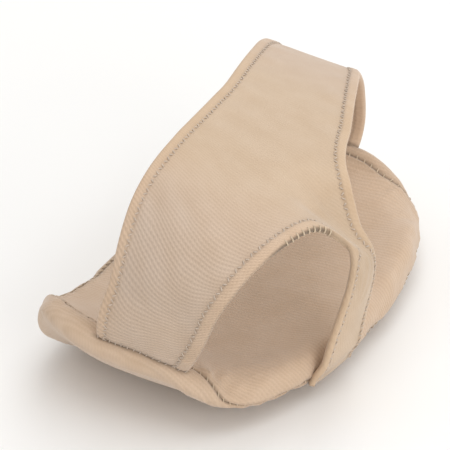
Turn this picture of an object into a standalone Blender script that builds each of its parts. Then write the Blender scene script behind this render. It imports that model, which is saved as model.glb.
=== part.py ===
"""Ball-of-foot gel pad on a stretch forefoot band, for the left foot, in its worn form.

A fabric band goes over the instep, leaves a hole for the big toe, and runs down between the big toe and the
second toe as a narrow strip. A gel cushion between two fabric covers lies under the ball of the foot. The band's
two side edges and the strip's lower end are sewn to the rim of the cushion.

Frame: metres, +X towards the toes, +Y towards the little-toe side, +Z up. The origin is the middle of the
cushion's seat, where the sole of the foot presses on it. Tables are in millimetres.
"""

import math

import bpy
import numpy as np

for old in list(bpy.data.objects):
    bpy.data.objects.remove(old, do_unlink=True)

MM = 0.001

# Driving dimensions, in millimetres.
FABRIC = 1.0  # wall of the band and of both cushion covers
HEM = 1.6  # wall of the folded hem along a free edge
HEM_WIDTH = 2.6
GAP = 0.3  # between neighbouring pieces
SEAM_GAP = 0.5  # between the two covers' edges
GEL_GAP = 0.4  # between the gel and the covers round it
CUSHION_THICK = 7.8  # in the middle, covers included
RIM_THICK_SIDE = 6.6  # where the band is sewn on
RIM_THICK_END = 6.2  # at the front and the back edge
PAD_CENTRE_X = -4.4
PAD_HALF_LENGTH = 29.0
PAD_HALF_GIRTH = 47.0  # from the middle of the sole up to the seam, along the foot's outline
PAD_SQUARENESS_FRONT, PAD_SQUARENESS_BACK = 2.45, 4.4  # 2 is an ellipse
DROOP_FRONT, DROOP_CORNER = -0.3, 2.8  # the rim hangs this far off the sole at its front and its front corners
CURL_BACK = 1.6  # the rim's back corners turn up this much into the arch
RIM_SQUARENESS = 2.7
SEAM_ANGLE_BACK = 75.0  # the cover seam's place on the rim: 90 is its upper side, -90 its lower side
SEAM_ANGLE_FRONT = -45.0
STRIP_HALF_WIDTH_TOP = 3.6
STRIP_HALF_WIDTH_FOOT = 7.0
STRIP_Y = -15.0
WEB_DIP = 8.0  # the band sinks this far between the big toe and the second toe
WEB_HALF_WIDTH = 6.8
FLARE = 2.9  # the band's outer face stands this far off the foot where it meets the cushion's rim
FLARE_REACH = 0.10  # share of the band's girth over which it comes in to the foot

# Corner fullness of the forefoot's outline, from 2 (an ellipse) up.
FULL_INSTEP_MEDIAL, FULL_INSTEP_LATERAL, FULL_SOLE = 2.2, 2.1, 2.6

# One row for each section across the forefoot: its place along X, the widest point on the medial side, the crown
# of the instep, the widest point on the lateral side.
FOREFOOT_COLUMNS = ("x", "medial_y", "medial_z", "crown_y", "crown_z", "lateral_y", "lateral_z")
FOREFOOT = (
    (-60, -32.0, 34, -8, 66.0, 42.0, 18.0),
    (-50, -33.0, 33, -9, 60.0, 43.0, 17.5),
    (-30, -38.0, 27, -13, 51.0, 48.0, 16.0),
    (-10, -43.5, 21, -16, 43.0, 50.5, 14.5),
    (10, -46.0, 19, -18, 37.5, 51.0, 14.0),
    (25, -45.0, 17, -20, 33.0, 48.5, 13.0),
    (40, -43.0, 15, -22, 29.0, 45.0, 12.0),
)

# One row for each station around the band, from the medial seam (0) over the instep to the lateral seam (1):
# where the band's back and front edges lie along X. The front edge is the toe hole's as far as the strip.
BAND_COLUMNS = ("around", "back_x", "front_x")
BAND = (
    (0.000, -12.6, 5.6),
    (0.035, -11.6, 8.8),
    (0.061, -10.9, 11.0),
    (0.104, -9.3, 13.6),
    (0.141, -8.4, 16.2),
    (0.179, -8.0, 18.7),
    (0.221, -7.8, 21.2),
    (0.268, -7.4, 23.7),
    (0.311, -7.0, 26.0),
    (0.340, -6.8, 27.9),
    (0.370, -6.8, 29.2),
    (0.403, -6.8, 28.2),
    (0.442, -6.9, 24.5),
    (0.476, -7.1, 21.3),
    (0.520, -7.5, 18.7),
    (0.566, -8.5, 16.7),
    (0.668, -11.3, 11.2),
    (0.760, -14.3, 6.2),
    (0.830, -15.8, 2.4),
    (1.000, -18.0, -1.0),
)


def through_table(rows, names, column, at):
    """The value of a column at a place along the first one: a smooth curve through the rows."""
    k = names.index(column)
    xs = [r[0] for r in rows]
    ys = [r[k] for r in rows]
    at = min(max(at, xs[0]), xs[-1])
    i = min(max(int(np.searchsorted(xs, at)) - 1, 0), len(xs) - 2)

    def slope(j):
        lo, hi = max(j - 1, 0), min(j + 1, len(xs) - 1)
        return (ys[hi] - ys[lo]) / (xs[hi] - xs[lo])

    h = xs[i + 1] - xs[i]
    t = (at - xs[i]) / h
    return (
        (2 * t**3 - 3 * t**2 + 1) * ys[i]
        + (t**3 - 2 * t**2 + t) * h * slope(i)
        + (3 * t**2 - 2 * t**3) * ys[i + 1]
        + (t**3 - t**2) * h * slope(i + 1)
    )


def ease(a, b, v):
    """0 at a, 1 at b, smooth between them."""
    t = min(max((v - a) / (b - a), 0.0), 1.0)
    return t * t * (3 - 2 * t)


OUTLINES = {}


def outline(x):
    """The forefoot's outline across X, from the middle of the sole round by the medial side: girth, y, z."""
    key = round(x, 4)
    if key in OUTLINES:
        return OUTLINES[key]
    my, mz, cy, cz, ly, lz = (through_table(FOREFOOT, FOREFOOT_COLUMNS, c, x) for c in FOREFOOT_COLUMNS[1:])
    sy = (my + ly) / 2
    turn = np.linspace(0, math.pi / 2, 60, endpoint=False)

    def quarter(centre, across, up, full, rising):
        a = turn if rising else math.pi / 2 - turn
        sides = across * np.abs(np.cos(a)) ** (2 / full), up * np.abs(np.sin(a)) ** (2 / full)
        return np.stack(sides, axis=1) + centre

    p = np.concatenate([
        quarter((sy, mz), my - sy, -mz, FULL_SOLE, False),
        quarter((cy, mz), my - cy, cz - mz, FULL_INSTEP_MEDIAL, True),
        quarter((cy, lz), ly - cy, cz - lz, FULL_INSTEP_LATERAL, False),
        quarter((sy, lz), ly - sy, -lz, FULL_SOLE, True),
        [(sy, 0.0)],
    ])
    girth = np.concatenate([[0.0], np.cumsum(np.linalg.norm(np.diff(p, axis=0), axis=1))])
    OUTLINES[key] = (girth, p[:, 0], p[:, 1])
    return OUTLINES[key]


def on_foot(x, girth):
    """The point at this girth from the middle of the sole: more than 0 is round by the medial side."""
    g, y, z = outline(x)
    at = girth if girth >= 0 else g[-1] + girth
    return np.array([x, np.interp(at, g, y), np.interp(at, g, z)])


def off_foot(x, girth, height):
    """That point, moved straight out from the foot by height."""
    across = on_foot(x, girth + 1.2) - on_foot(x, girth - 1.2)
    along = on_foot(x + 1.5, girth) - on_foot(x - 1.5, girth)
    out = np.cross(along, across)
    return on_foot(x, girth) + height * out / np.linalg.norm(out)


def rim(turn):
    """The cushion's rim, laid flat: turn 0 is its front, 90 its medial side, 180 its back, 270 its lateral side."""
    c, s = math.cos(math.radians(turn)), math.sin(math.radians(turn))
    power = 2 / (PAD_SQUARENESS_FRONT if c > 0 else PAD_SQUARENESS_BACK)
    return np.array([
        PAD_CENTRE_X + PAD_HALF_LENGTH * math.copysign(abs(c) ** power, c),
        PAD_HALF_GIRTH * math.copysign(abs(s) ** power, s),
    ])


def rim_girth(x):
    """How far up the side the rim reaches at this place along X, where the band is sewn to it."""
    x = min(x, 6.0)
    square = PAD_SQUARENESS_FRONT if x > PAD_CENTRE_X else PAD_SQUARENESS_BACK
    share = min(abs((x - PAD_CENTRE_X) / PAD_HALF_LENGTH), 1.0)
    return PAD_HALF_GIRTH * (1 - share**square) ** (1 / square)


def make(name, vertices, faces, colour, roughness):
    mesh = bpy.data.meshes.new(name)
    mesh.from_pydata([tuple(MM * float(c) for c in v) for v in vertices], [], faces)
    mesh.update()
    material = bpy.data.materials.new(name)
    material.use_nodes = True
    shader = material.node_tree.nodes["Principled BSDF"]
    shader.inputs["Base Color"].default_value = (*colour, 1.0)
    shader.inputs["Roughness"].default_value = roughness
    shader.inputs["Metallic"].default_value = 0.0
    mesh.materials.append(material)
    mesh.shade_smooth()
    piece = bpy.data.objects.new(name, mesh)
    bpy.context.scene.collection.objects.link(piece)
    return piece


# ---------------------------------------------------------------------------------------------------------------
# The cushion: one closed form, which the two covers share as their outer face, and which the gel fills inside them.

TURNS = 64
UPPER_SHARES = (0.3, 0.56, 0.76, 0.87, 0.95)
LOWER_SHARES = (0.95, 0.87, 0.76, 0.6, 0.4, 0.2)
RIM_STEPS_UPPER, RIM_STEPS_LOWER = 3, 5


def cushion_ring(turn, inset):
    """The form at one turn, drawn in by inset: its upper cover's points out from the pole and over the rim, and its
    lower cover's points from the seam round the rim and in to the other pole."""
    x1, g1 = rim(turn)
    reach = math.hypot(x1 - PAD_CENTRE_X, g1)
    end = abs(math.cos(math.radians(turn))) ** 0.8
    thick = RIM_THICK_SIDE + (RIM_THICK_END - RIM_THICK_SIDE) * end
    bulge = thick / 2 * (1.0 + 0.25 * end)
    inner = 1 - bulge / reach
    from_front = min(turn, 360 - turn)
    rise = ease(50, 73, from_front)
    seam = SEAM_ANGLE_FRONT + (SEAM_ANGLE_BACK - SEAM_ANGLE_FRONT) * rise
    half = math.degrees(SEAM_GAP / thick) * (1 + 3.5 * rise * (1 - rise))

    corner = math.exp(-(((from_front - 58) / 20) ** 2))
    droop = DROOP_CORNER * corner + DROOP_FRONT * ease(60, 20, from_front)
    droop -= CURL_BACK * math.exp(-(((from_front - 132) / 24) ** 2))

    def at(share, height):
        tuck = droop * share**4
        x = PAD_CENTRE_X + share * (x1 - PAD_CENTRE_X)
        return off_foot(x, share * g1, tuck + height)

    def round_rim(angle):
        c, s = math.cos(math.radians(angle)), math.sin(math.radians(angle))
        c, s = abs(c) ** (2 / RIM_SQUARENESS), math.copysign(abs(s) ** (2 / RIM_SQUARENESS), s)
        return at(1 - (bulge - (bulge - inset) * c) / reach, thick / 2 - (thick / 2 - inset) * s)

    upper = [at(share * inner, inset) for share in UPPER_SHARES]
    upper += [round_rim(a) for a in np.linspace(90, seam + half, RIM_STEPS_UPPER + 1)]
    lower = [round_rim(a) for a in np.linspace(seam - half, -90, RIM_STEPS_LOWER + 1)]
    for share in LOWER_SHARES:
        more = (CUSHION_THICK - thick) * (1 - share**2.6)
        lower.append(at(share * inner, thick + more - inset))
    return upper, lower


def cap_faces(rings, across, pole, start, flip):
    """Quads between rings of points, and a fan to the pole inside the first ring."""
    faces = []
    for i in range(rings):
        j = (i + 1) % rings
        faces.append((pole, start + i * across, start + j * across))
        for k in range(across - 1):
            a, b = start + i * across + k, start + j * across + k
            faces.append((a, a + 1, b + 1, b))
    return [f[::-1] for f in faces] if flip else faces


def cover(name, outer, inner, poles, flip, colour):
    """A fabric cover: its outer face, its inner face, and the cut edge between them at the seam."""
    count, across = outer.shape[:2]
    vertices = [*outer.reshape(-1, 3), *inner.reshape(-1, 3), *poles]
    half = count * across
    faces = cap_faces(count, across, 2 * half, 0, not flip) + cap_faces(count, across, 2 * half + 1, half, flip)
    for i in range(count):
        a, b = i * across + across - 1, ((i + 1) % count) * across + across - 1
        edge = (a, b, half + b, half + a)
        faces.append(edge[::-1] if flip else edge)
    return make(name, vertices, faces, colour, 0.85)


rings = {inset: [cushion_ring(360 * i / TURNS, inset) for i in range(TURNS)] for inset in (0.0, FABRIC)}
upper, upper_lining = (np.array([r[0] for r in rings[inset]]) for inset in (0.0, FABRIC))
lower, lower_lining = (np.array([r[1][::-1] for r in rings[inset]]) for inset in (0.0, FABRIC))
pole = [off_foot(PAD_CENTRE_X, 0.0, h) for h in (0.0, FABRIC, CUSHION_THICK - FABRIC, CUSHION_THICK)]
cover("pad_top_cover", upper, upper_lining, pole[:2], False, (0.585, 0.43, 0.29))
cover("pad_sole_cover", lower, lower_lining, pole[:1:-1], True, (0.57, 0.42, 0.285))


rings = [cushion_ring(360 * i / TURNS, FABRIC + GEL_GAP) for i in range(TURNS)]
core = [u + l for u, l in rings]
points = len(core[0])
vertices = [p for ring in core for p in ring]
vertices += [off_foot(PAD_CENTRE_X, 0.0, h) for h in (FABRIC + GEL_GAP, CUSHION_THICK - FABRIC - GEL_GAP)]
faces = cap_faces(TURNS, points, len(vertices) - 2, 0, True)
faces += [
    (len(vertices) - 1, i * points + points - 1, (i + 1) % TURNS * points + points - 1) for i in range(TURNS)
]
make("gel_pad", vertices, faces, (0.62, 0.55, 0.45), 0.35)

# ---------------------------------------------------------------------------------------------------------------
# The band: a sheet in rows from its back to its front edge, with the strip's rows carried on from its front edge.

STATIONS_MEDIAL, STATIONS_LATERAL = 20, 28
STRIP_STATIONS = (0.0, 0.28, 0.5, 0.72, 1.0)
STRIP_ROWS = 11
STRIP_START, STRIP_END = 0.338, 0.405
MIDDLE_ROWS = 6


def web_dip(x, y):
    return WEB_DIP * ease(12, 30, x) * math.exp(-(((y - STRIP_Y) / WEB_HALF_WIDTH) ** 2))


def on_band(around, x):
    """A point of the band's outer face."""
    low = rim_girth(x) + GAP + 0.1
    whole = outline(x)[0][-1]
    flare = FLARE * (1 - ease(0, FLARE_REACH, min(around, 1 - around)))
    p = off_foot(x, low + around * (whole - 2 * low), flare)
    p[2] -= web_dip(p[0], p[1])
    return p


def band_rows(width):
    hem = HEM_WIDTH / width
    edge = [0.0, hem * 0.9, hem * 1.15]
    middle = np.linspace(edge[-1], 1 - edge[-1], MIDDLE_ROWS + 2)[1:-1]
    return [*edge, *middle, *[1 - e for e in edge[::-1]]]


stations = [
    *np.linspace(0.0, STRIP_START, STATIONS_MEDIAL, endpoint=False),
    *[STRIP_START + (STRIP_END - STRIP_START) * s for s in STRIP_STATIONS],
    *np.linspace(STRIP_END, 1.0, STATIONS_LATERAL + 1)[1:],
]
first, last = STATIONS_MEDIAL, STATIONS_MEDIAL + len(STRIP_STATIONS) - 1
band = []
for around in stations:
    back = through_table(BAND, BAND_COLUMNS, "back_x", around)
    front = through_table(BAND, BAND_COLUMNS, "front_x", around)
    band.append([on_band(around, back + v * (front - back)) for v in band_rows(front - back)])
rows = len(band[0])


def strip_point(i, t):
    """A point of the strip: it leaves the band's front edge, drops between the toes, and laps over the rim's front."""
    share = STRIP_STATIONS[i] * 2 - 1
    top = band[first + i][-1]
    run = band[first + i][-1] - band[first + i][-3]
    run /= np.linalg.norm(run)
    y = STRIP_Y + share * STRIP_HALF_WIDTH_FOOT
    square = PAD_SQUARENESS_FRONT
    reach = PAD_CENTRE_X + PAD_HALF_LENGTH * (1 - (abs(y) / PAD_HALF_GIRTH) ** square) ** (1 / square)
    foot = np.array([reach + GAP + FABRIC + 0.25, y, -DROOP_FRONT - RIM_THICK_END * 0.85])
    narrow = STRIP_Y + share * STRIP_HALF_WIDTH_TOP
    a = top + 7.5 * run
    b = foot + np.array([1.2, 0.0, 13.0])
    a[1] = narrow
    b[1] = (y + narrow) / 2
    return (1 - t) ** 3 * top + 3 * t * (1 - t) ** 2 * a + 3 * t * t * (1 - t) * b + t**3 * foot


strip = [[strip_point(i, (r + 1) / STRIP_ROWS) for r in range(STRIP_ROWS)] for i in range(len(STRIP_STATIONS))]

vertices, faces = [p for column in band for p in column], []
for i in range(len(band) - 1):
    for k in range(rows - 1):
        a = i * rows + k
        faces.append((a, a + 1, a + rows + 1, a + rows))
base = len(vertices)
vertices += [p for column in strip for p in column]


def strip_index(i, r):
    return (first + i) * rows + rows - 1 if r == 0 else base + i * STRIP_ROWS + r - 1


for i in range(len(strip) - 1):
    for r in range(STRIP_ROWS):
        faces.append((strip_index(i, r), strip_index(i, r + 1), strip_index(i + 1, r + 1), strip_index(i + 1, r)))

band_piece = make("forefoot_band", vertices, faces, (0.66, 0.5, 0.355), 0.8)
hem_group = band_piece.vertex_groups.new(name="hem")
back_hem = [i * rows + k for i in range(len(band)) for k in (0, 1)]
front_hem = [i * rows + k for i in range(len(band)) for k in (rows - 2, rows - 1) if i <= first or i >= last]
strip_hem = [strip_index(i, r) for i in (0, 1, 3, 4) for r in range(STRIP_ROWS + 1)]
hem_group.add(back_hem + front_hem + strip_hem, 1.0, "REPLACE")
wall = band_piece.modifiers.new("wall", "SOLIDIFY")
wall.thickness = HEM * MM
wall.offset = -1.0
wall.use_rim = True
wall.vertex_group = "hem"
wall.thickness_vertex_group = FABRIC / HEM
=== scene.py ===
import math

import bmesh
import bpy
import numpy as np
from mathutils import Matrix, Vector
from mathutils.bvhtree import BVHTree
from mathutils.kdtree import KDTree


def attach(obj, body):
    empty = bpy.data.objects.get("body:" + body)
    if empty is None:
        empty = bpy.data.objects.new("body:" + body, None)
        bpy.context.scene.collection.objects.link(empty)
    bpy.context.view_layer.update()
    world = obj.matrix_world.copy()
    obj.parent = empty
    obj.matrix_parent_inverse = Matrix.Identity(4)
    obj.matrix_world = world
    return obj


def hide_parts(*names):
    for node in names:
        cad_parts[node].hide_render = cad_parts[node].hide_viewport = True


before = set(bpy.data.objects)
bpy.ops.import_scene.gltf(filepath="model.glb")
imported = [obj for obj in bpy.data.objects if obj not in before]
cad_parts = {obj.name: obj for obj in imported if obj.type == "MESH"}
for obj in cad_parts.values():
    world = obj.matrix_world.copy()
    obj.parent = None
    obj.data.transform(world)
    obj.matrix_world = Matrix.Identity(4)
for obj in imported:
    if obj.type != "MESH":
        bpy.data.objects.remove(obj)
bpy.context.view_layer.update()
MM = 0.001

# ---------------------------------------------------------------------------------------------------------------
# The forefoot's form, the cushion's outline and the band's edges, in millimetres, as in the CAD model.

FULL_MEDIAL, FULL_LATERAL, FULL_SOLE = 2.2, 2.1, 2.6
CUSHION_THICK, RIM_SIDE, RIM_END = 7.8, 6.6, 6.2
PAD_X, PAD_LENGTH, PAD_GIRTH = -4.4, 29.0, 47.0
SQUARE_FRONT, SQUARE_BACK, SQUARE_RIM = 2.45, 4.4, 2.35
DROOP_FRONT, DROOP_CORNER, CURL_BACK = -0.3, 2.8, 1.6
SEAM_BACK, SEAM_FRONT = 75.0, -45.0
STRIP_TOP, STRIP_FOOT, STRIP_Y = 3.6, 7.0, -15.0
STRIP_START, STRIP_END = 0.338, 0.405
WEB_DIP, WEB_WIDTH = 8.0, 6.8
FLARE, FLARE_REACH = 2.9, 0.10

# place along X, the widest point on the medial side, the crown of the instep, the widest point on the lateral side
FOREFOOT = np.array((
    (-60, -32.0, 34, -8, 66.0, 42.0, 18.0),
    (-50, -33.0, 33, -9, 60.0, 43.0, 17.5),
    (-30, -38.0, 27, -13, 51.0, 48.0, 16.0),
    (-10, -43.5, 21, -16, 43.0, 50.5, 14.5),
    (10, -46.0, 19, -18, 37.5, 51.0, 14.0),
    (25, -45.0, 17, -20, 33.0, 48.5, 13.0),
    (40, -43.0, 15, -22, 29.0, 45.0, 12.0),
))

# share of the way round the band from its medial seam to its lateral seam, place of its back and its front edge
BAND = np.array((
    (0.000, -12.6, 5.6),
    (0.035, -11.6, 8.8),
    (0.061, -10.9, 11.0),
    (0.104, -9.3, 13.6),
    (0.141, -8.4, 16.2),
    (0.179, -8.0, 18.7),
    (0.221, -7.8, 21.2),
    (0.268, -7.4, 23.7),
    (0.311, -7.0, 26.0),
    (0.340, -6.8, 27.9),
    (0.370, -6.8, 29.2),
    (0.403, -6.8, 28.2),
    (0.442, -6.9, 24.5),
    (0.476, -7.1, 21.3),
    (0.520, -7.5, 18.7),
    (0.566, -8.5, 16.7),
    (0.668, -11.3, 11.2),
    (0.760, -14.3, 6.2),
    (0.830, -15.8, 2.4),
    (1.000, -18.0, -1.0),
))


def curve(table, column, at):
    """A column of a table at places along its first one, on a smooth curve through its rows."""
    xs, ys = table[:, 0], table[:, column]
    at = np.clip(np.asarray(at, float), xs[0], xs[-1])
    i = np.clip(np.searchsorted(xs, at) - 1, 0, len(xs) - 2)
    lo, hi = np.maximum(np.arange(len(xs)) - 1, 0), np.minimum(np.arange(len(xs)) + 1, len(xs) - 1)
    slope = (ys[hi] - ys[lo]) / (xs[hi] - xs[lo])
    h = xs[i + 1] - xs[i]
    t = (at - xs[i]) / h
    return (
        (2 * t**3 - 3 * t**2 + 1) * ys[i]
        + (t**3 - 2 * t**2 + t) * h * slope[i]
        + (3 * t**2 - 2 * t**3) * ys[i + 1]
        + (t**3 - t**2) * h * slope[i + 1]
    )


def ease(a, b, v):
    t = np.clip((np.asarray(v, float) - a) / (b - a), 0, 1)
    return t * t * (3 - 2 * t)


# The form as a table: for each place along X, points at equal steps round its outline.
X_STEP, ROUND = 0.5, 2400
xs = np.arange(-60, 56.01, X_STEP)
form = np.zeros((len(xs), ROUND + 1, 2))
whole = np.zeros(len(xs))
q = np.linspace(0, math.pi / 2, 240, endpoint=False)
for i, x in enumerate(xs):
    my, mz, cy, cz, ly, lz = (float(curve(FOREFOOT, k, x)) for k in range(1, 7))
    sy = (my + ly) / 2
    parts = []
    for centre, across, up, full, rising in (
        ((sy, mz), my - sy, -mz, FULL_SOLE, False),
        ((cy, mz), my - cy, cz - mz, FULL_MEDIAL, True),
        ((cy, lz), ly - cy, cz - lz, FULL_LATERAL, False),
        ((sy, lz), ly - sy, -lz, FULL_SOLE, True),
    ):
        a = q if rising else math.pi / 2 - q
        part = (across * np.abs(np.cos(a)) ** (2 / full), up * np.abs(np.sin(a)) ** (2 / full))
        parts.append(np.stack(part, axis=1) + centre)
    p = np.concatenate([*parts, [(sy, 0.0)]])
    g = np.concatenate([[0.0], np.cumsum(np.linalg.norm(np.diff(p, axis=0), axis=1))])
    whole[i] = g[-1]
    even = np.linspace(0, g[-1], ROUND + 1)
    form[i, :, 0], form[i, :, 1] = np.interp(even, g, p[:, 0]), np.interp(even, g, p[:, 1])


def whole_girth(x):
    return np.interp(x, xs, whole)


def on_foot(x, girth):
    x, girth = np.broadcast_arrays(np.asarray(x, float), np.asarray(girth, float))
    share = np.mod(girth / whole_girth(x), 1.0) * ROUND
    fx = np.clip((x - xs[0]) / X_STEP, 0, len(xs) - 1.001)
    i, k = fx.astype(int), np.clip(share.astype(int), 0, ROUND - 1)
    a, b = (fx - i)[..., None], (share - k)[..., None]
    yz = (form[i, k] * (1 - b) + form[i, k + 1] * b) * (1 - a) + (form[i + 1, k] * (1 - b) + form[i + 1, k + 1] * b) * a
    return np.concatenate([x[..., None], yz], axis=-1)


def off_foot(x, girth, height):
    across = on_foot(x, girth + 1.2) - on_foot(x, girth - 1.2)
    along = on_foot(np.asarray(x) + 1.5, girth) - on_foot(np.asarray(x) - 1.5, girth)
    out = np.cross(along, across)
    out /= np.linalg.norm(out, axis=-1, keepdims=True)
    return on_foot(x, girth) + np.asarray(height)[..., None] * out


def rim_girth(x):
    x = np.minimum(x, 6.0)
    square = np.where(x > PAD_X, SQUARE_FRONT, SQUARE_BACK)
    share = np.minimum(np.abs((x - PAD_X) / PAD_LENGTH), 1.0)
    return PAD_GIRTH * (1 - share**square) ** (1 / square)


def ripple(s, seed, *waves):
    """A sum of sines that doesn't repeat soon: each wave is (length in millimetres, height)."""
    rng = np.random.default_rng(seed)
    total = 0.0
    for length, height in waves:
        total = total + height * np.sin(2 * math.pi * (np.asarray(s) / length + rng.random()))
    return total


# ---------------------------------------------------------------------------------------------------------------
# Materials


def knit(name, colour, groove, pitch=1.0, course=0.8, depth=0.00010, rough=0.8, sheen=0.25, strength=0.55):
    """A fine stretch knit. Its UV map is in millimetres of cloth: rows of loops run along V, side by side along U."""
    m = bpy.data.materials.new(name)
    m.use_nodes = True
    nodes, links = m.node_tree.nodes, m.node_tree.links
    shader = nodes["Principled BSDF"]
    shader.inputs["Roughness"].default_value = rough
    shader.inputs["Sheen Weight"].default_value = sheen
    shader.inputs["Sheen Roughness"].default_value = 0.45
    shader.inputs["Specular IOR Level"].default_value = 0.28

    def node(kind, **values):
        n = nodes.new(kind)
        for key, value in values.items():
            setattr(n, key, value)
        return n

    def maths(operation, a, b=None, c=None):
        n = node("ShaderNodeMath", operation=operation)
        for socket, value in zip(n.inputs, (a, b, c)):
            if value is None:
                continue
            if isinstance(value, (int, float)):
                socket.default_value = value
            else:
                links.new(value, socket)
        return n.outputs[0]

    uv = node("ShaderNodeUVMap", uv_map="cloth")
    wander = node("ShaderNodeTexNoise", noise_dimensions="2D")
    wander.inputs["Scale"].default_value = 0.09
    wander.inputs["Detail"].default_value = 2.0
    links.new(uv.outputs[0], wander.inputs["Vector"])
    split = node("ShaderNodeSeparateXYZ")
    links.new(uv.outputs[0], split.inputs[0])
    u = maths("ADD", split.outputs[0], maths("MULTIPLY", wander.outputs["Fac"], 2.2))
    v = split.outputs[1]
    t = maths("ABSOLUTE", maths("SUBTRACT", maths("FRACT", maths("DIVIDE", u, pitch)), 0.5))
    wale = maths("COSINE", maths("MULTIPLY", t, 2 * math.pi))  # 1 on a rib, -1 in the groove
    lean = maths("ADD", maths("DIVIDE", v, course), maths("MULTIPLY", t, 1.3))
    loop = maths("SINE", maths("MULTIPLY", lean, 2 * math.pi))
    fuzz = node("ShaderNodeTexNoise", noise_dimensions="2D")
    fuzz.inputs["Scale"].default_value = 2.6
    fuzz.inputs["Detail"].default_value = 3.0
    links.new(uv.outputs[0], fuzz.inputs["Vector"])
    edge = node("ShaderNodeVertexColor", layer_name="painted_shade_and_tone")  # its alpha is how clearly the ribs show
    height = maths("ADD", maths("MULTIPLY", wale, 0.6), maths("MULTIPLY", loop, 0.3))
    height = maths("ADD", maths("MULTIPLY", height, edge.outputs["Alpha"]), maths("MULTIPLY", fuzz.outputs["Fac"], 0.7))
    bump = node("ShaderNodeBump")
    bump.inputs["Strength"].default_value = strength
    bump.inputs["Distance"].default_value = depth
    links.new(height, bump.inputs["Height"])
    links.new(bump.outputs[0], shader.inputs["Normal"])

    # painted shade: the cloth's colour goes towards the darker groove colour in the knit's grooves, where shade falls,
    # and varies with the fuzz noise
    shade = maths("MULTIPLY_ADD", height, 0.38, 0.36)
    cloth = node("ShaderNodeMix", data_type="RGBA")
    cloth.inputs[6].default_value = (*groove, 1)
    cloth.inputs[7].default_value = (*colour, 1)
    links.new(maths("MINIMUM", maths("MAXIMUM", shade, 0.0), 1.0), cloth.inputs[0])
    patch = node("ShaderNodeTexNoise", noise_dimensions="2D")
    patch.inputs["Scale"].default_value = 0.16
    patch.inputs["Detail"].default_value = 3.0
    links.new(uv.outputs[0], patch.inputs["Vector"])
    tone = node("ShaderNodeHueSaturation")
    links.new(maths("MULTIPLY_ADD", patch.outputs["Fac"], 0.12, 0.94), tone.inputs["Value"])
    links.new(maths("MULTIPLY_ADD", patch.outputs["Fac"], -0.16, 1.08), tone.inputs["Saturation"])
    links.new(cloth.outputs[2], tone.inputs["Color"])
    # painted shade: the cloth near a free edge or a seam is a little darker, where shade falls in the stitch lines, the
    # seams and along the toe hole's edge; the same vertex colour also carries small changes of tone
    painted_shade_mix = node("ShaderNodeMix", data_type="RGBA", blend_type="MULTIPLY")
    painted_shade_mix.inputs[0].default_value = 1.0
    links.new(tone.outputs[0], painted_shade_mix.inputs[6])
    links.new(edge.outputs[0], painted_shade_mix.inputs[7])
    links.new(painted_shade_mix.outputs[2], shader.inputs["Base Color"])
    return m


def thread(name, colour):
    m = bpy.data.materials.new(name)
    m.use_nodes = True
    nodes, links = m.node_tree.nodes, m.node_tree.links
    shader = nodes["Principled BSDF"]
    shader.inputs["Roughness"].default_value = 0.6
    shader.inputs["Sheen Weight"].default_value = 0.2
    place = nodes.new("ShaderNodeTexCoord")
    twist = nodes.new("ShaderNodeTexNoise")
    twist.inputs["Scale"].default_value = 1800.0
    twist.inputs["Detail"].default_value = 2.0
    links.new(place.outputs["Object"], twist.inputs["Vector"])
    ramp = nodes.new("ShaderNodeValToRGB")
    ramp.color_ramp.elements[0].position, ramp.color_ramp.elements[1].position = 0.3, 0.7
    ramp.color_ramp.elements[0].color = (*[c * 0.72 for c in colour], 1)
    ramp.color_ramp.elements[1].color = (*colour, 1)
    links.new(twist.outputs["Fac"], ramp.inputs[0])
    links.new(ramp.outputs[0], shader.inputs["Base Color"])
    bump = nodes.new("ShaderNodeBump")
    bump.inputs["Strength"].default_value = 0.5
    bump.inputs["Distance"].default_value = 0.00004
    links.new(twist.outputs["Fac"], bump.inputs["Height"])
    links.new(bump.outputs[0], shader.inputs["Normal"])
    return m


# each knit's second colour is the darker colour painted into its grooves as shade
band_cloth = knit("band_knit", (0.605, 0.462, 0.345), (0.475, 0.354, 0.262), pitch=0.9, course=0.72)
cover_cloth = knit("top_cover_knit", (0.60, 0.448, 0.325), (0.52, 0.382, 0.272), pitch=0.9, course=0.7, sheen=0.3, strength=0.4)
sole_cloth = knit("sole_cover_knit", (0.595, 0.444, 0.322), (0.515, 0.378, 0.268), pitch=0.9, course=0.7, sheen=0.3, strength=0.4)
thread_light = thread("thread_light", (0.60, 0.47, 0.33))
thread_grey = thread("thread_grey", (0.565, 0.46, 0.37))


def mesh_piece(name, vertices, faces, materials, uv=None, painted_shade_and_tone=None, face_slots=None):
    mesh = bpy.data.meshes.new(name)
    mesh.from_pydata((np.asarray(vertices) * MM).tolist(), [], faces)
    mesh.update()
    for m in materials:
        mesh.materials.append(m)
    loops = np.zeros(len(mesh.loops), int)
    mesh.loops.foreach_get("vertex_index", loops)
    if uv is not None:
        layer = mesh.uv_layers.new(name="cloth")
        layer.data.foreach_set("uv", np.asarray(uv)[loops].ravel())
    if painted_shade_and_tone is not None:
        tint = mesh.color_attributes.new("painted_shade_and_tone", "FLOAT_COLOR", "POINT")
        four = np.ones((len(vertices), 4))
        four[:, : np.shape(painted_shade_and_tone)[1]] = painted_shade_and_tone
        tint.data.foreach_set("color", four.ravel())
    if face_slots is not None:
        mesh.polygons.foreach_set("material_index", face_slots)
    mesh.shade_smooth()
    piece = bpy.data.objects.new(name, mesh)
    bpy.context.scene.collection.objects.link(piece)
    return piece


# ---------------------------------------------------------------------------------------------------------------
# The cushion: one closed form, with the seam between its two covers as a groove round its rim.


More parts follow.
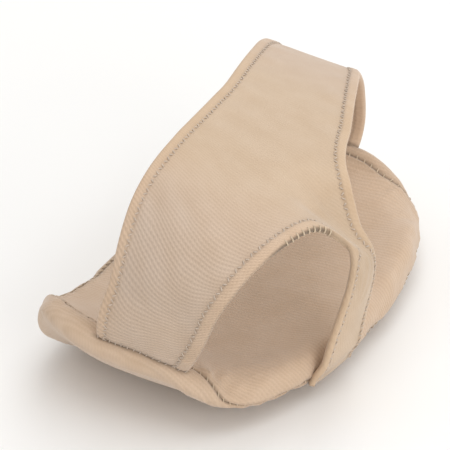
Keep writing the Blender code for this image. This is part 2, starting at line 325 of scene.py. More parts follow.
def cushion_grid(turns, upper_n, above_n, below_n, lower_n, inset=0.0):
    """Points by turn and by step: out over the seat, over the rim to the seam, under to the sole's middle."""
    turn = np.arange(turns) * 360.0 / turns
    c, s = np.cos(np.radians(turn)), np.sin(np.radians(turn))
    power = 2 / np.where(c > 0, SQUARE_FRONT, SQUARE_BACK)
    x1 = PAD_X + PAD_LENGTH * np.sign(c) * np.abs(c) ** power
    g1 = PAD_GIRTH * np.sign(s) * np.abs(s) ** power
    reach = np.hypot(x1 - PAD_X, g1)
    end = np.abs(c) ** 0.8
    thick = RIM_SIDE + (RIM_END - RIM_SIDE) * end
    bulge = thick / 2 * (1 + 0.25 * end)
    inner = 1 - bulge / reach
    from_front = np.minimum(turn, 360 - turn)
    rise = ease(50, 73, from_front)
    seam = SEAM_FRONT + (SEAM_BACK - SEAM_FRONT) * rise
    corner = np.exp(-(((from_front - 58) / 20) ** 2))
    droop = DROOP_CORNER * corner + DROOP_FRONT * ease(60, 20, from_front)
    droop = droop - CURL_BACK * np.exp(-(((from_front - 132) / 24) ** 2))
    shares, heights, seam_mm = [], [], []
    half = thick / 2

    for share in np.linspace(0.05, 1, upper_n, endpoint=False) ** 0.85:
        shares.append(share * inner)
        heights.append(np.full(turns, inset))
        seam_mm.append(-((1 - share) * inner * reach + math.pi / 2 * half))
    for part in np.linspace(0, 1, above_n + 1):
        a = np.radians(90 + (seam - 90) * part)
        k, m = np.abs(np.cos(a)) ** (2 / SQUARE_RIM), np.sign(np.sin(a)) * np.abs(np.sin(a)) ** (2 / SQUARE_RIM)
        shares.append(1 - (bulge - (bulge - inset) * k) / reach)
        heights.append(half - (half - inset) * m)
        seam_mm.append(-np.radians(90 - seam) * (1 - part) * half)
    for part in np.linspace(0, 1, below_n + 1)[1:]:
        a = np.radians(seam + (-90 - seam) * part)
        k, m = np.abs(np.cos(a)) ** (2 / SQUARE_RIM), np.sign(np.sin(a)) * np.abs(np.sin(a)) ** (2 / SQUARE_RIM)
        shares.append(1 - (bulge - (bulge - inset) * k) / reach)
        heights.append(half - (half - inset) * m)
        seam_mm.append(np.radians(seam + 90) * part * half)
    for share in (np.linspace(1, 0.05, lower_n + 1)[1:]) ** 0.85:
        shares.append(share * inner)
        heights.append(thick + (CUSHION_THICK - thick) * (1 - share**2.6) - inset)
        seam_mm.append(np.radians(seam + 90) * half + (1 - share) * inner * reach)
    share, height, seam_mm = (np.array(t).T for t in (shares, heights, seam_mm))
    x = PAD_X + share * (x1 - PAD_X)[:, None]
    girth = share * g1[:, None]
    points = off_foot(x, girth, droop[:, None] * share**4 + height)
    flat = np.stack([girth, x], axis=-1)
    # past the rim the cloth runs on outward, so that its loops keep their size on the wall
    over = np.abs(height - inset)[..., None] * ease(0.55, 1.0, share)[..., None]
    away = np.stack([g1, x1 - PAD_X], axis=-1)
    away /= np.linalg.norm(away, axis=-1, keepdims=True)
    flat = flat + over * away[:, None, :]
    return points, flat, seam_mm, turn


def cushion_faces(turns, steps):
    faces = []
    pole_top, pole_sole = turns * steps, turns * steps + 1
    for i in range(turns):
        j = (i + 1) % turns
        faces.append((pole_top, i * steps, j * steps))
        for k in range(steps - 1):
            faces.append((i * steps + k, i * steps + k + 1, j * steps + k + 1, j * steps + k))
        faces.append((pole_sole, j * steps + steps - 1, i * steps + steps - 1))
    return faces


def normals(grid, closed=False):
    """Unit normals of a grid of points, out of its face."""
    if closed:
        a = np.roll(grid, -1, axis=0) - np.roll(grid, 1, axis=0)
    else:
        a = np.gradient(grid, axis=0)
    n = np.cross(a, np.gradient(grid, axis=1))
    return n / np.maximum(np.linalg.norm(n, axis=-1, keepdims=True), 1e-9)


TURNS, UPPER, ABOVE, BELOW, LOWER = 240, 28, 16, 24, 18
COARSE = (TURNS // 2, UPPER // 2, ABOVE // 2, BELOW // 2, LOWER // 2)
points, flat, seam_mm, turn = cushion_grid(TURNS, UPPER, ABOVE, BELOW, LOWER, inset=0.35)
steps = points.shape[1]
out = normals(points, closed=True)
if (out[:, 3] @ np.array([0, 0, 1.0])).mean() < 0:
    out = -out

swell = np.zeros_like(points)
# the covers' cloth is swelled by the gel's pressure, held along the seam, with a little cloth to spare
small, _, small_seam, _ = cushion_grid(*COARSE, inset=0.35)
count, across = small.shape[:2]
poles = [off_foot(PAD_X, 0.0, np.array(0.35)), off_foot(PAD_X, 0.0, np.array(CUSHION_THICK - 0.35))]
start = np.concatenate([small.reshape(-1, 3), poles])
mesh = bpy.data.meshes.new("swelling")
mesh.from_pydata((start * 0.01).tolist(), [], cushion_faces(count, across))
bm = bmesh.new()
bm.from_mesh(mesh)
bmesh.ops.recalc_face_normals(bm, faces=bm.faces)
bm.to_mesh(mesh)
bm.free()
body = bpy.data.objects.new("swelling", mesh)
bpy.context.scene.collection.objects.link(body)
held = body.vertex_groups.new(name="held")
near = np.abs(small_seam.reshape(-1))
for k in range(len(start) - 2):
    weight = float(np.clip(1.0 - near[k] / 1.2, 0, 1))
    if weight > 0:
        held.add([k], weight, "REPLACE")
# the middle of the sole lies flat on what it stands on, and the foot keeps the middle of the seat down
held.add([len(start) - 2, len(start) - 1], 0.6, "REPLACE")
cloth = body.modifiers.new("cloth", "CLOTH")
set_ = cloth.settings
set_.quality = 5
set_.mass = 0.05
set_.tension_stiffness = set_.compression_stiffness = 12
set_.shear_stiffness = 6
set_.bending_stiffness = 0.8
set_.use_pressure = True
set_.uniform_pressure_force = 1.5
set_.shrink_min = -0.008
set_.vertex_group_mass = "held"
set_.effector_weights.gravity = 0.0
cloth.collision_settings.use_collision = False
cloth.point_cache.frame_start, cloth.point_cache.frame_end = 1, 20
for f in range(1, 21):
    bpy.context.scene.frame_set(f)
grown = body.evaluated_get(bpy.context.evaluated_depsgraph_get()).data
after = np.zeros(len(start) * 3)
grown.vertices.foreach_get("co", after)
moved = (after.reshape(-1, 3) * 100 - start)[:-2].reshape(count, across, 3)
bpy.context.scene.frame_set(1)
bpy.data.objects.remove(body, do_unlink=True)
facing = normals(small, closed=True)
if facing[:, 3, 2].mean() < 0:
    facing = -facing
raised = (moved * facing).sum(axis=-1, keepdims=True)
CAP = 0.9  # a point of the cloth rises or sinks at most this far
raised = CAP * np.tanh(raised / CAP)
# the foot keeps the seat from swelling up, and the sole lies flat
rim_share = np.exp(-((small_seam / 9.0) ** 2))[..., None]
moved = facing * raised * (0.25 + 0.75 * rim_share)

def between(lines, axis, ring):
    """Twice as many lines, each new one halfway between its neighbours."""
    mid = (lines + np.roll(lines, -1, axis)) / 2
    if not ring:
        mid = np.take(mid, range(lines.shape[axis] - 1), axis)
        whole_ = np.zeros([2 * s - 1 if k == axis else s for k, s in enumerate(lines.shape)])
    else:
        whole_ = np.zeros([2 * s if k == axis else s for k, s in enumerate(lines.shape)])
    index = [slice(None)] * lines.ndim
    index[axis] = slice(0, None, 2)
    whole_[tuple(index)] = lines
    index[axis] = slice(1, None, 2)
    whole_[tuple(index)] = mid
    return whole_

moved = between(between(moved, 0, True), 1, False)
at = np.linspace(0, moved.shape[1] - 1, steps)
low = np.minimum(at.astype(int), moved.shape[1] - 2)
swell = moved[:, low] * (1 - (at - low))[None, :, None] + moved[:, low + 1] * (at - low)[None, :, None]

# the seam: a groove with a soft lip on each side, gathered a little by its stitches
along = np.concatenate([[0.0], np.cumsum(np.linalg.norm(np.diff(points[:, UPPER + ABOVE], axis=0), axis=1))])
d = seam_mm
gather = ripple(along, 3, (2.3, 0.03), (3.7, 0.04), (7.9, 0.05), (13.0, 0.05))[:, None]
shallow = 1 - 0.7 * np.exp(-(((turn - 303) / 14) ** 2))[:, None]
lift = -0.5 * shallow * np.exp(-((d / 0.42) ** 2)) + (0.20 + gather) * np.exp(-(((np.abs(d) - 1.5) / 0.9) ** 2))
# soft wrinkles of the top cover over the front-medial and front-lateral corners of the rim
front = np.exp(-(((np.minimum(turn, 360 - turn) - 48) / 17) ** 2))[:, None]
rim_step = np.exp(-(((np.arange(steps) - (UPPER + 5)) / 6.0) ** 2))[None, :]
wrinkle = ripple(along, 8, (6.1, 0.09), (9.7, 0.12), (4.3, 0.05))[:, None]
lift = lift + front * rim_step * wrinkle
# faint lines along the rim's wall, where the sole cover is drawn over the gel's edge
wall = np.exp(-(((d - 3.4) / 1.6) ** 2)) * (0.5 + 0.5 * np.sin(2 * math.pi * d / 1.9)) * 0.12
lift = lift + wall + 0.05 * ripple(flat[..., 0] + flat[..., 1] * 0.6, 5, (17, 1.0), (29, 1.0))
sewn_side = (0.15 + 0.30 * np.exp(-(((turn - 92) / 32) ** 2)))[:, None]  # most where the band is sewn on
lift = lift + sewn_side * ripple(along, 31, (15.0, 0.6), (9.3, 0.5))[:, None] * np.exp(-(((d - 1.0) / 3.5) ** 2))
points = points + swell + lift[..., None] * out
# the gel fills the sole cover out under the rear medial corner
corner = np.exp(-(((turn - 147) / 21) ** 2))[:, None] * ease(-0.5, 5.5, d) * (1 - ease(13, 26, d))
points[..., 2] -= 2.8 * corner

cushion_points = np.concatenate([
    points.reshape(-1, 3),
    [points[:, 0].mean(axis=0), points[:, -1].mean(axis=0)],
])
flat_all = np.concatenate([flat.reshape(-1, 2), [[0.0, PAD_X]], [[0.0, PAD_X]]])
# painted shade in the groove of the seam between the covers, with a faint broader shade either side
shade = 1 - 0.42 * np.exp(-((d / 0.35) ** 2)) - 0.07 * np.exp(-((d / 2.2) ** 2))
painted_shade_and_tone = np.concatenate([shade.reshape(-1), [1, 1]])[:, None] * np.ones(3)
faces = cushion_faces(TURNS, steps)
slots = []
for i in range(TURNS):
    slots += [0] + [0 if k < UPPER + ABOVE else 1 for k in range(steps - 1)] + [1]
cushion = mesh_piece("cushion", cushion_points, faces, [cover_cloth, sole_cloth], flat_all, painted_shade_and_tone, slots)
bm = bmesh.new()
bm.from_mesh(cushion.data)
bmesh.ops.recalc_face_normals(bm, faces=bm.faces)
bm.to_mesh(cushion.data)
bm.free()
cushion.data.update()
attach(cushion, "root")
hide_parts("gel_pad", "pad_top_cover", "pad_sole_cover")

# ---------------------------------------------------------------------------------------------------------------
# The band: a wall of knit with folded hems along its free edges, and the strip that runs on from its front edge.

HEM_IN = 2.1  # the hem's stitch line, from the edge
HOLE_HEM = 1.25  # the toe hole's hem is this much wider
COLUMNS_MEDIAL, COLUMNS_STRIP, COLUMNS_LATERAL = 150, 36, 200
EDGE = np.array([0, 0.12, 0.28, 0.5, 0.8, 1.15, 1.5, 1.8, 2.0, 2.15, 2.3, 2.45, 2.65, 2.85, 3.1, 3.5])
MIDDLE = 22
STRIP_ROWS = 76

stations = np.concatenate([
    np.linspace(0, STRIP_START, COLUMNS_MEDIAL, endpoint=False),
    np.linspace(STRIP_START, STRIP_END, COLUMNS_STRIP, endpoint=False),
    np.linspace(STRIP_END, 1.0, COLUMNS_LATERAL + 1),
])
first, last = COLUMNS_MEDIAL, COLUMNS_MEDIAL + COLUMNS_STRIP


def band_point(around, x):
    low = rim_girth(x) - 1.8  # its sewn edge is inside the cushion's rim
    round_ = whole_girth(x)
    nearest = np.minimum(around, 1 - around)
    flare = FLARE * (1 - ease(0, FLARE_REACH, nearest))
    p = off_foot(x, low + around * (round_ - 2 * low), flare)
    p[..., 2] -= WEB_DIP * ease(12, 30, p[..., 0]) * np.exp(-(((p[..., 1] - STRIP_Y) / WEB_WIDTH) ** 2))
    return p


back_x, front_x = curve(BAND, 1, stations), curve(BAND, 2, stations)
width = front_x - back_x
edge = EDGE[None, :] / width[:, None]
middle = np.linspace(0, 1, MIDDLE + 2)[None, 1:-1] * (1 - 2 * edge[:, -1:]) + edge[:, -1:]
v = np.concatenate([edge, middle, 1 - edge[:, ::-1]], axis=1)
x = back_x[:, None] + v * width[:, None]
around = np.broadcast_to(stations[:, None], x.shape)
band = band_point(around, x)
rows = band.shape[1]
girth_mm = around * 165.0

# the strip, whose columns go on from the band's between its start and end
share = np.linspace(-1, 1, last - first + 1)[:, None]
t = (np.arange(STRIP_ROWS) + 1)[None, :] / STRIP_ROWS
top = band[first : last + 1, -1][:, None, :]
run = band[first : last + 1, -1] - band[first : last + 1, -9]
run = (run / np.linalg.norm(run, axis=-1, keepdims=True))[:, None, :]
foot_y = STRIP_Y + share * STRIP_FOOT
reach = PAD_X + PAD_LENGTH * (1 - (np.abs(foot_y) / PAD_GIRTH) ** SQUARE_FRONT) ** (1 / SQUARE_FRONT)
foot = np.stack([reach + 1.15, foot_y, np.full_like(foot_y, -DROOP_FRONT - RIM_END * 0.85)], axis=-1)
narrow = STRIP_Y + share * STRIP_TOP
a = top + 7.5 * run
a[..., 1] = narrow
b = foot + np.array([1.2, 0.0, 13.0])
b[..., 1] = (foot_y + narrow) / 2
t3 = t[..., None]
strip = (1 - t3) ** 3 * top + 3 * t3 * (1 - t3) ** 2 * a + 3 * t3**2 * (1 - t3) * b + t3**3 * foot
strip[..., 0] -= 1.9 * ease(0.86, 1.0, t) ** 1.3  # its end turns in to the covers' seam
strip_x = front_x[first : last + 1][:, None] + t * 36.0

# one list of points: the band's grid, then the strip's
grid = [band.reshape(-1, 3), strip.reshape(-1, 3)]
base = len(grid[0])
sheet = np.concatenate(grid)
sheet_uv = np.concatenate([
    np.stack([girth_mm, x], axis=-1).reshape(-1, 2),
    np.stack([girth_mm[first : last + 1, :1] + 0 * strip_x, strip_x], axis=-1).reshape(-1, 2),
])


def strip_at(i, r):
    """The strip's point in column i (from the strip's first) and row r, where row 0 is the band's front edge."""
    return (first + i) * rows + rows - 1 if r == 0 else base + i * STRIP_ROWS + r - 1


quads = []
for i in range(len(stations) - 1):
    for k in range(rows - 1):
        c = i * rows + k
        quads.append((c, c + rows, c + rows + 1, c + 1))
for i in range(last - first):
    for r in range(STRIP_ROWS):
        quads.append((strip_at(i, r), strip_at(i + 1, r), strip_at(i + 1, r + 1), strip_at(i, r + 1)))
quads = np.array(quads)

# the rows of loops are drawn down in the middle of the band's medial wall, where it is stretched
knit_uv = sheet_uv.copy()
medial = 1 - ease(30, 95, sheet_uv[:, 0])
from_low = sheet_uv[:, 1] + 8 - 30 * np.tanh((sheet_uv[:, 0] - 5) / 28)
knit_uv[:, 0] -= 0.042 * medial * 2 * 81 * (np.sqrt(1 + from_low**2 / 81) - 1)

# smooth the fold where the strip leaves the band
neighbours = {}
for quad in quads:
    for k in range(4):
        neighbours.setdefault(int(quad[k]), set()).add(int(quad[(k + 1) % 4]))
        neighbours.setdefault(int(quad[(k + 1) % 4]), set()).add(int(quad[k]))
joint = band[first : last + 1, -1].mean(axis=0)
reach_of = np.linalg.norm(sheet - joint, axis=1)
edge_back = [i * rows for i in range(len(stations))]
edge_hole = [i * rows + rows - 1 for i in range(0, first + 1)] + [strip_at(0, r) for r in range(1, STRIP_ROWS + 1)]
edge_front = [strip_at(last - first, r) for r in range(STRIP_ROWS, 0, -1)]
edge_front += [i * rows + rows - 1 for i in range(last, len(stations))]
free = set(edge_back + edge_hole + edge_front)
sewn = set(range(rows)) | set(range((len(stations) - 1) * rows, len(stations) * rows))
sewn |= {strip_at(i, STRIP_ROWS) for i in range(last - first + 1)}
move = [k for k in range(len(sheet)) if reach_of[k] < 13 and k not in sewn]
for _ in range(90):
    before = sheet.copy()
    for k in move:
        if k in free:
            two = [n for n in neighbours[k] if n in free]
            mean = before[two].mean(axis=0) if len(two) == 2 else before[k]
        else:
            mean = before[list(neighbours[k])].mean(axis=0)
        sheet[k] = before[k] + (mean - before[k]) * 0.5 * float(ease(13, 6, reach_of[k]))

face_normal = np.cross(sheet[quads[:, 2]] - sheet[quads[:, 0]], sheet[quads[:, 3]] - sheet[quads[:, 1]])
normal = np.zeros_like(sheet)
for k in range(4):
    np.add.at(normal, quads[:, k], face_normal)
normal /= np.maximum(np.linalg.norm(normal, axis=1, keepdims=True), 1e-12)
crown = int(np.argmax(sheet[:, 2]))
if normal[crown, 2] < 0:
    normal, quads = -normal, quads[:, ::-1]


def length_along(line):
    p = sheet[line]
    return np.concatenate([[0.0], np.cumsum(np.linalg.norm(np.diff(p, axis=0), axis=1))])


tree_points, tree_place = [], []
for line in (edge_back, edge_hole, edge_front):
    p, s = sheet[line], length_along(line)
    fine = np.arange(0, s[-1], 0.12)
    for k in range(3):
        tree_points.append(np.interp(fine, s, p[:, k])) if k == 0 else tree_points.append(np.interp(fine, s, p[:, k]))
    tree_place.append(fine)
edges_3d = np.concatenate([np.stack(tree_points[3 * k : 3 * k + 3], axis=1) for k in range(3)])
edges_s = np.concatenate(tree_place)
edges_id = np.concatenate([np.full(len(p), k) for k, p in enumerate(tree_place)])
tree = KDTree(len(edges_3d))
for k, p in enumerate(edges_3d):
    tree.insert(p, k)
tree.balance()
found = [tree.find(p) for p in sheet]
gap = np.array([f[2] for f in found])
gap[list(free)] = 0.0
near_s = np.array([edges_s[f[1]] for f in found])
near_id = np.array([edges_id[f[1]] for f in found])
# the hem narrows on the strip, which is itself narrow
on_strip = np.zeros(len(sheet))
on_strip[base:] = np.tile(ease(0.0, 0.35, (np.arange(STRIP_ROWS) + 1) / STRIP_ROWS), last - first + 1)
at_hole = (near_id == 1) * (1 - on_strip)
scale = (1 - 0.45 * on_strip) * (1 + (HOLE_HEM - 1) * at_hole)
d = gap / scale

half = 0.45 + 0.24 * (1 - ease(1.75, 2.25, d)) - 0.06 * np.exp(-(((d - HEM_IN) / 0.2) ** 2))
half += 0.035 * np.cos(2 * math.pi * near_s / 1.9) * np.exp(-(((d - 1.7) / 0.7) ** 2))
half += 0.04 * np.sin(2 * math.pi * near_s / 5.3 + near_id) * np.exp(-(((d - 1.4) / 1.0) ** 2))
radius = 0.65
half *= np.sqrt(np.clip(1 - np.clip(1 - d / radius, 0, 1) ** 2, 0, 1))
# the cloth lies in soft waves: drawn in along the stitch line, and pulled towards the web between the toes
pull = sheet - joint
angle = np.arctan2(pull[:, 1], -pull[:, 0])
wave = 0.10 * np.sin(2 * math.pi * near_s / 9.1 + 1.3 * near_id) * np.exp(-(((d - 4.5) / 2.2) ** 2))
wave += 0.20 * np.sin(9 * angle + 0.6) * np.exp(-(((reach_of - 9) / 5.5) ** 2)) * ease(2.0, 6.0, d)
wave += 0.12 * ripple(sheet_uv[:, 0] * 0.8 + sheet_uv[:, 1] * 0.5, 21, (23.0, 0.6), (37.0, 0.6)) * ease(3, 8, d)
wave *= ease(0.0, 2.5, d) * (1 - 0.7 * on_strip)
middle_at = -0.45 + wave
outer = sheet + (middle_at + half)[:, None] * normal
inner = sheet + (middle_at - half)[:, None] * normal

# the inner face shares the outer one's points along the free edges
index = np.arange(len(sheet))
inner_index = np.full(len(sheet), -1)
free_list = np.array(sorted(free))
inner_index[free_list] = free_list
others = np.setdiff1d(index, free_list)
inner_index[others] = len(sheet) + np.arange(len(others))
all_points = np.concatenate([outer, inner[others]])
all_uv = np.concatenate([knit_uv, knit_uv[others]])
faces = [tuple(int(k) for k in quad) for quad in quads]
faces += [tuple(int(inner_index[k]) for k in quad[::-1]) for quad in quads]


def cap(line):
    """Faces along a sewn edge, between the wall's two faces."""
    for p, n in zip(line[:-1], line[1:]):
        ring = [p, n, int(inner_index[n]), int(inner_index[p])]
        ring = [k for i, k in enumerate(ring) if k not in ring[:i]]
        if len(ring) > 2:
            faces.append(tuple(ring))


cap(list(range(rows)))
cap(list(range((len(stations) - 1) * rows, len(stations) * rows)))
cap([strip_at(i, STRIP_ROWS) for i in range(last - first + 1)])
# painted shade along the hem's stitch line; the folded hem beyond it is a little lighter
tint = 1 - 0.07 * np.exp(-(((d - HEM_IN) / 0.55) ** 2)) + 0.05 * (1 - ease(1.3, 1.9, d))
# painted shadow along the toe hole's edge, where the toe's contact shadow falls, darkest along its upper part between
# the overlock loops
hole_length = length_along(edge_hole[: first + 1])[-1]
crest = ease(0.6, 0.72, near_s / hole_length) * (near_id == 1)
crest = crest * (1 - ease(0.92, 1.0, near_s / hole_length))
tint *= 1 - (0.26 * at_hole + 0.42 * crest) * np.exp(-((gap / 0.32) ** 2))
# painted shade: the seam to the cushion is a thin dark line, on the band and on the cushion, where shade falls in the
# join
skin = BVHTree.FromPolygons([tuple(q_) for q_ in cushion_points], cushion_faces(TURNS, steps))
sides = np.concatenate([np.minimum(girth_mm, 165 - girth_mm).reshape(-1), np.full(len(sheet) - base, 9.0)])
sides = np.minimum(sides, np.concatenate([np.full(base, 9.0), np.tile(np.arange(STRIP_ROWS)[::-1] * 0.5, last - first + 1)]))
for k in np.nonzero(sides < 5)[0]:
    tint[k] *= 1 - 0.5 * math.exp(-((skin.find_nearest(tuple(outer[k]))[3] / 0.42) ** 2))
ribs = 1.25 - 0.9 * ease(24, 56, sheet_uv[:, 0])
# the crown of the band is a little yellower, its stretched medial wall a little greyer
up_it, along_it = sheet_uv[:, 0], sheet_uv[:, 1]
crown_share = ease(38, 62, up_it) * (1 - ease(95, 120, up_it))
wall_share = (1 - ease(30, 52, up_it)) * (1 - 0.6 * ease(-4, 12, along_it)) * (0.4 + 0.6 * ease(6, 20, up_it)) * ease(1.8, 3.2, d)
# painted shade: the lower front of the medial wall and the dip into the web between the toes are a little darker
low_front_painted_shade = (1 - ease(20, 40, up_it)) * ease(2, 10, along_it)
web_painted_shade = np.exp(-(((reach_of - 4) / 7) ** 2))
tint = tint * (1 - 0.05 * low_front_painted_shade) * (1 - 0.09 * web_painted_shade)
tint = tint[:, None] * np.stack(
    [1 - 0.06 * wall_share, 1 - 0.03 * wall_share, (1 + 0.02 * wall_share) * (1 - 0.05 * crown_share)], axis=1
)
tint = tint * (1 - (1 - ease(1.5, 2.4, d))[:, None] * np.array([0.0, 0.03, 0.07]))
tint = np.concatenate([tint, tint[others]])
tint = np.concatenate([tint, np.concatenate([ribs, ribs[others]])[:, None]], axis=1)
band_piece = mesh_piece("band", all_points, faces, [band_cloth], all_uv, tint)
bm = bmesh.new()
bm.from_mesh(band_piece.data)
bmesh.ops.recalc_face_normals(bm, faces=bm.faces)
bm.to_mesh(band_piece.data)
bm.free()
band_piece.data.update()
# painted shade on the cushion along the band's sewn wall, where shade falls in the join
wall_tree = BVHTree.FromPolygons([tuple(q_) for q_ in all_points], faces)
tint_of = cushion.data.color_attributes["painted_shade_and_tone"].data
for k, vertex in enumerate(cushion_points):
    reach_ = wall_tree.find_nearest(tuple(vertex), 1.6)[3]
    if reach_ is not None:
        keep_ = 1 - 0.4 * math.exp(-((reach_ / 0.45) ** 2))
        c_ = tint_of[k].color
        tint_of[k].color = (c_[0] * keep_, c_[1] * keep_, c_[2] * keep_, c_[3])
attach(band_piece, "root")
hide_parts("forefoot_band")

# ---------------------------------------------------------------------------------------------------------------
# Stitches: short lengths of thread that lie on the cloth and dip into it at both ends.


def level_lines(field, level):
    """The lines along which field has this value on the band's sheet: lists of (point, normal)."""
    at, links_ = {}, {}
    for quad in quads:
        quad = [int(k) for k in quad]
        vals = [field[k] - level for k in quad]
        if min(vals) > 0 or max(vals) < 0:
            continue
        for tri in ((0, 1, 2), (0, 2, 3)):
            cut = []
            for m, n in ((0, 1), (1, 2), (2, 0)):
                p, q_ = quad[tri[m]], quad[tri[n]]
                fp, fq = field[p] - level, field[q_] - level
                if (fp > 0) == (fq > 0):
                    continue
                key = (min(p, q_), max(p, q_))
                w = fp / (fp - fq)
                at[key] = (outer[p] * (1 - w) + outer[q_] * w, normal[p] * (1 - w) + normal[q_] * w)
                cut.append(key)
            if len(cut) == 2:
                links_.setdefault(cut[0], []).append(cut[1])
                links_.setdefault(cut[1], []).append(cut[0])
    lines, seen = [], set()
    ends = [k for k, n in links_.items() if len(n) == 1] + list(links_)
    for start in ends:
        if start in seen:
            continue
        line, here = [start], start
        seen.add(start)
        while True:
            ahead = [n for n in links_[here] if n not in seen]
            if not ahead:
                break
            here = ahead[0]
            seen.add(here)
            line.append(here)
        lines.append([at[k] for k in line])
    return lines


def tube(path, up, radius, sides=6):
    """A thread along a path, flattened a little against the cloth, and closed at both ends."""
    path = np.asarray(path)
    way = np.gradient(path, axis=0)
    way /= np.maximum(np.linalg.norm(way, axis=1, keepdims=True), 1e-9)
    side = np.cross(way, up)
    side /= np.maximum(np.linalg.norm(side, axis=1, keepdims=True), 1e-9)
    over = np.cross(side, way)
    turn_ = np.arange(sides) * 2 * math.pi / sides
    size = radius * np.sin(np.linspace(0.25, 0.75, len(path)) * math.pi) ** 0.5
    rings = [p + s * (np.cos(turn_)[:, None] * a_ + 0.8 * np.sin(turn_)[:, None] * b_)
             for p, a_, b_, s in zip(path, side, over, size)]
    return np.concatenate(rings)


def tube_faces(count, sides, base_):
    out_ = []
    for i in range(count - 1):
        for k in range(sides):
            m = (k + 1) % sides
            out_.append((base_ + i * sides + k, base_ + i * sides + m, base_ + (i + 1) * sides + m, base_ + (i + 1) * sides + k))
    out_.append(tuple(base_ + k for k in range(sides))[::-1])
    out_.append(tuple(base_ + (count - 1) * sides + k for k in range(sides)))
    return out_


class Threads:
    def __init__(self):
        self.points, self.faces, self.count = [], [], 0

    def add(self, path, up, radius, sides=6):
        ring = tube(path, up, radius, sides)
        self.faces += tube_faces(len(path), sides, self.count)
        self.points.append(ring)
        self.count += len(ring)

    def piece(self, name, material, slot):
        o = mesh_piece(name, np.concatenate(self.points), self.faces, [material])
        bm_ = bmesh.new()
        bm_.from_mesh(o.data)
        bmesh.ops.recalc_face_normals(bm_, faces=bm_.faces)
        bm_.to_mesh(o.data)
        bm_.free()
        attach(o, "root")
        return o


def spread(line, pitch):
    """Points, normals and directions at equal steps along a line of (point, normal)."""
    p = np.array([q_[0] for q_ in line])
    n = np.array([q_[1] for q_ in line])
    s = np.concatenate([[0.0], np.cumsum(np.linalg.norm(np.diff(p, axis=0), axis=1))])
    keep = np.concatenate([[True], np.diff(s) > 1e-6])
    p, n, s = p[keep], n[keep], s[keep]
    if s[-1] < 2 * pitch:
        return None
    count = int(s[-1] / pitch)
    at = (np.arange(count) + 0.5) * s[-1] / count
    here = np.stack([np.interp(at, s, p[:, k]) for k in range(3)], axis=1)
    up = np.stack([np.interp(at, s, n[:, k]) for k in range(3)], axis=1)
    up /= np.linalg.norm(up, axis=1, keepdims=True)
    ahead = np.gradient(here, axis=0)
    ahead /= np.linalg.norm(ahead, axis=1, keepdims=True)
    return here, up, ahead


hems = Threads()
arc = np.linspace(-1, 1, 6)
for line in level_lines(d, HEM_IN):
    laid = spread(line, 1.05)
    if laid is None:
        continue
    for k, (p, n, w) in enumerate(zip(*laid)):
        side = np.cross(n, w)
        slant = w * 0.3 + side * (0.46 if k % 2 else -0.34)
        path = [p + slant * s_ + n * (0.12 - 0.2 * abs(s_) ** 3) for s_ in arc]
        hems.add(path, np.tile(n, (len(path), 1)), 0.16)
hem_stitches = hems.piece("hem_stitches", thread_grey, "band_fabric")

# the overlock along the toe hole's edge: loops round the cut edge
loops_ = Threads()
line = edge_hole[: first + 1 + 10]
s = length_along(line)
for at in np.arange(0.70 * s[-1], s[-1] - 4.5, 1.45):
    p = np.array([np.interp(at, s, sheet[line][:, k]) for k in range(3)])
    n = np.array([np.interp(at, s, normal[line][:, k]) for k in range(3)])
    ahead = np.array([np.interp(at + 0.5, s, sheet[line][:, k]) for k in range(3)]) - p
    ahead /= np.linalg.norm(ahead)
    inward = np.cross(ahead, n)
    inward /= np.linalg.norm(inward)
    probe = band[max(0, min(len(stations) - 1, int(np.interp(at, s, range(len(line)))))), -6]
    if np.dot(probe - p, inward) < 0:
        inward = -inward
    mid = p - 0.45 * n
    path = []
    for a_ in np.radians(np.linspace(-105, 105, 11)):
        path.append(mid + inward * (0.5 - 0.6 * math.cos(a_)) + n * 0.66 * math.sin(a_) - ahead * 0.1 * math.sin(a_))
    path = np.array(path)
    up = path - (mid + inward * 0.5)
    up /= np.linalg.norm(up, axis=1, keepdims=True)
    loops_.add(path, up, 0.19)
hole_overlock = loops_.piece("hole_overlock", thread_light, "band_fabric")

# the covers' seam: small stitches across the groove
seam_row = points[:, UPPER + ABOVE]
seams = Threads()
s = np.concatenate([[0.0], np.cumsum(np.linalg.norm(np.diff(np.concatenate([seam_row, seam_row[:1]]), axis=0), axis=1))])
ring = np.concatenate([seam_row, seam_row[:1]])
above = np.concatenate([points[:, UPPER + ABOVE - 2], points[:1, UPPER + ABOVE - 2]])
below = np.concatenate([points[:, UPPER + ABOVE + 2], points[:1, UPPER + ABOVE + 2]])
out_ring = np.concatenate([out[:, UPPER + ABOVE], out[:1, UPPER + ABOVE]])


def on_ring(values, at):
    return np.array([np.interp(at, s, values[:, k]) for k in range(3)])


for at in np.arange(0.8, s[-1] - 0.8, 1.7):
    p, n = on_ring(ring, at), on_ring(out_ring, at)
    n /= np.linalg.norm(n)
    across_ = on_ring(below, at) - on_ring(above, at)
    across_ -= n * np.dot(across_, n)
    across_ /= np.linalg.norm(across_)
    w = np.cross(n, across_)
    path = [p + across_ * 0.62 * s_ + w * 0.18 * s_ + n * (0.36 - 0.16 * s_ * s_) for s_ in arc]
    seams.add(path, np.tile(n, (len(path), 1)), 0.12)
seam_stitches = seams.piece("seam_stitches", thread_light, "cover_fabric")

# small stitches where the band's side edges and the strip's end are sewn to the cushion
joins = Threads()


def contact(column):
    """Where a column of the band's outer points, from its sewn end, comes out of the cushion."""
    depth = [skin.find_nearest(tuple(outer[k])) for k in column]
    side_ = [np.dot(np.array(outer[k]) - np.array(f_[0]), np.array(f_[1])) for k, f_ in zip(column, depth)]
    for m_ in range(1, len(column)):
        if abs(side_[m_]) > 0.15 and np.sign(side_[m_]) != np.sign(side_[0]):
            return column[m_], column[min(m_ + 3, len(column) - 1)]
    return None


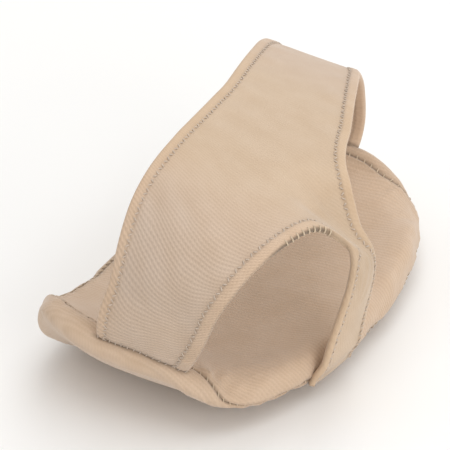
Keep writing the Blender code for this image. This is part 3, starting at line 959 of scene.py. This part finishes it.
def sew(columns, pitch):
    found_ = [c_ for c_ in (contact(column) for column in columns) if c_]
    if len(found_) < 4:
        return
    line_ = [(outer[a__], normal[a__]) for a__, _ in found_]
    up_line = np.array([outer[b__] - outer[a__] for a__, b__ in found_])
    laid_ = spread(line_, pitch)
    if laid_ is None:
        return
    for k_, (p_, n_, w_) in enumerate(zip(*laid_)):
        rise_ = up_line[min(int(k_ * len(up_line) / len(laid_[0])), len(up_line) - 1)]
        rise_ = rise_ / np.linalg.norm(rise_)
        path_ = [p_ + rise_ * (0.15 + 0.62 * s_) + w_ * 0.12 * s_ + n_ * (0.16 - 0.12 * s_ * s_) for s_ in arc]
        joins.add(path_, np.tile(n_, (len(path_), 1)), 0.13)


sew([[i * rows + k for i in range(0, 14)] for k in range(1, rows - 1)], 1.35)
sew([[i * rows + k for i in range(len(stations) - 1, len(stations) - 13, -1)] for k in range(1, rows - 1)], 1.35)
sew([[strip_at(i, r) for r in range(STRIP_ROWS, STRIP_ROWS - 16, -1)] for i in range(1, last - first)], 1.2)
extra = [joins.piece("join_stitches", thread_grey, "band_fabric")] if joins.points else []

# ---------------------------------------------------------------------------------------------------------------
# Floor, light and camera


def plain(name, colour, rough):
    m = bpy.data.materials.new(name)
    m.use_nodes = True
    shader = m.node_tree.nodes["Principled BSDF"]
    shader.inputs["Base Color"].default_value = (*colour, 1)
    shader.inputs["Roughness"].default_value = rough
    return m


mesh = bpy.data.meshes.new("floor")
mesh.from_pydata([(-3, -3, -0.0088), (3, -3, -0.0088), (3, 3, -0.0088), (-3, 3, -0.0088)], [], [(0, 1, 2, 3)])
mesh.materials.append(plain("floor", (0.9, 0.9, 0.895), 0.8))
floor = bpy.data.objects.new("floor", mesh)
bpy.context.scene.collection.objects.link(floor)

world = bpy.data.worlds.new("studio")
bpy.context.scene.world = world
world.use_nodes = True
world.node_tree.nodes["Background"].inputs["Color"].default_value = (1.0, 0.99, 0.975, 1)
world.node_tree.nodes["Background"].inputs["Strength"].default_value = 0.74


def lamp(name, place, target, size, power, colour=(1, 1, 1)):
    data = bpy.data.lights.new(name, "AREA")
    data.shape = "RECTANGLE"
    data.size, data.size_y = size
    data.energy = power
    data.color = colour
    o = bpy.data.objects.new(name, data)
    bpy.context.scene.collection.objects.link(o)
    o.location = place
    o.rotation_euler = (Vector(target) - Vector(place)).to_track_quat("-Z", "Y").to_euler()
    return o


lamp("key", (0.22, 0.0, 0.72), (0, 0, 0.01), (0.95, 0.8), 2.3, (1.0, 0.99, 0.975))
lamp("fill", (0.75, -0.55, 0.30), (0, 0, 0.01), (0.6, 0.5), 3.0, (1.0, 0.99, 0.98))
lamp("back", (-0.2, 0.8, 0.6), (0, 0, 0.01), (0.6, 0.4), 1.5)

AZIMUTH, ELEVATION, ROLL, DISTANCE, FIELD = 26.0, 29.0, 1.5, 1.5, 0.086
a_, e_, r_ = (math.radians(v_) for v_ in (AZIMUTH, ELEVATION, ROLL))
back = Vector((math.sin(a_) * math.cos(e_), -math.cos(a_) * math.cos(e_), math.sin(e_)))
right = Vector((math.cos(a_), math.sin(a_), 0))
up = back.cross(right)
right, up = right * math.cos(r_) - up * math.sin(r_), right * math.sin(r_) + up * math.cos(r_)
target = Vector((0, 0, 0.015)) - right * 0.0055 - up * 0.0008
data = bpy.data.cameras.new("camera")
data.sensor_width = 36
data.lens = 36 * DISTANCE / FIELD
data.clip_start, data.clip_end = 0.05, 20
camera = bpy.data.objects.new("camera", data)
bpy.context.scene.collection.objects.link(camera)
place = target + back * DISTANCE
camera.matrix_world = Matrix((
    (right.x, up.x, back.x, place.x),
    (right.y, up.y, back.y, place.y),
    (right.z, up.z, back.z, place.z),
    (0, 0, 0, 1),
))
bpy.context.scene.camera = camera
bpy.context.scene.view_settings.view_transform = "Standard"
